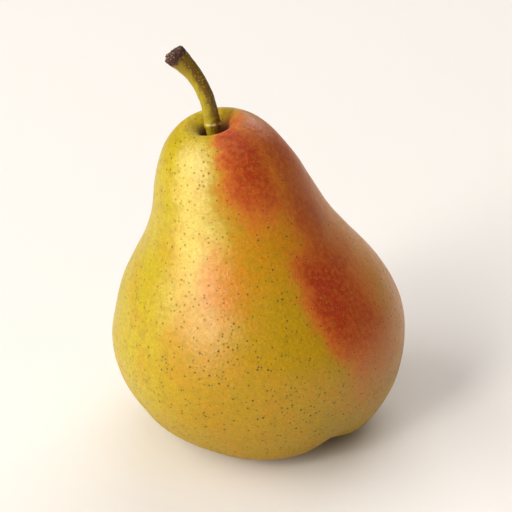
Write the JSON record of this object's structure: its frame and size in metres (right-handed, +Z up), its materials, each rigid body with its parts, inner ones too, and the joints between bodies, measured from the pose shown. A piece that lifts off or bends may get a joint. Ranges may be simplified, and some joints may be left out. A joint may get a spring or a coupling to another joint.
{
  "type": "pear",
  "caption": "Whole fresh pear with a leaning neck, a curved woody stem in its cavity and a dried calyx in the basin underneath, standing upright on its base.",
  "frame": {"origin": "centre of the pear's box on the surface that it rests on", "axes": "+Z up out of the base towards the stem, -X the side that the neck and stem lean to, -Y the side that faces the viewer, with the base crease at the front right"},
  "size_m": [0.0706, 0.0706, 0.0957],
  "materials": {
    "skin": "waxy fruit skin, satin, golden yellow-green with red blush and small brown dots",
    "stem_bark": "olive green to brown woody stalk, satin, with a rough torn grey-brown end",
    "dried_sepal": "dry, dark brown, matt leaf"
  },
  "bodies": {
    "root": {"fruit": "skin", "stem": "stem_bark", "sepal_1": "dried_sepal", "sepal_2": "dried_sepal", "sepal_3": "dried_sepal", "sepal_4": "dried_sepal", "sepal_5": "dried_sepal"}
  },
  "joints": []
}
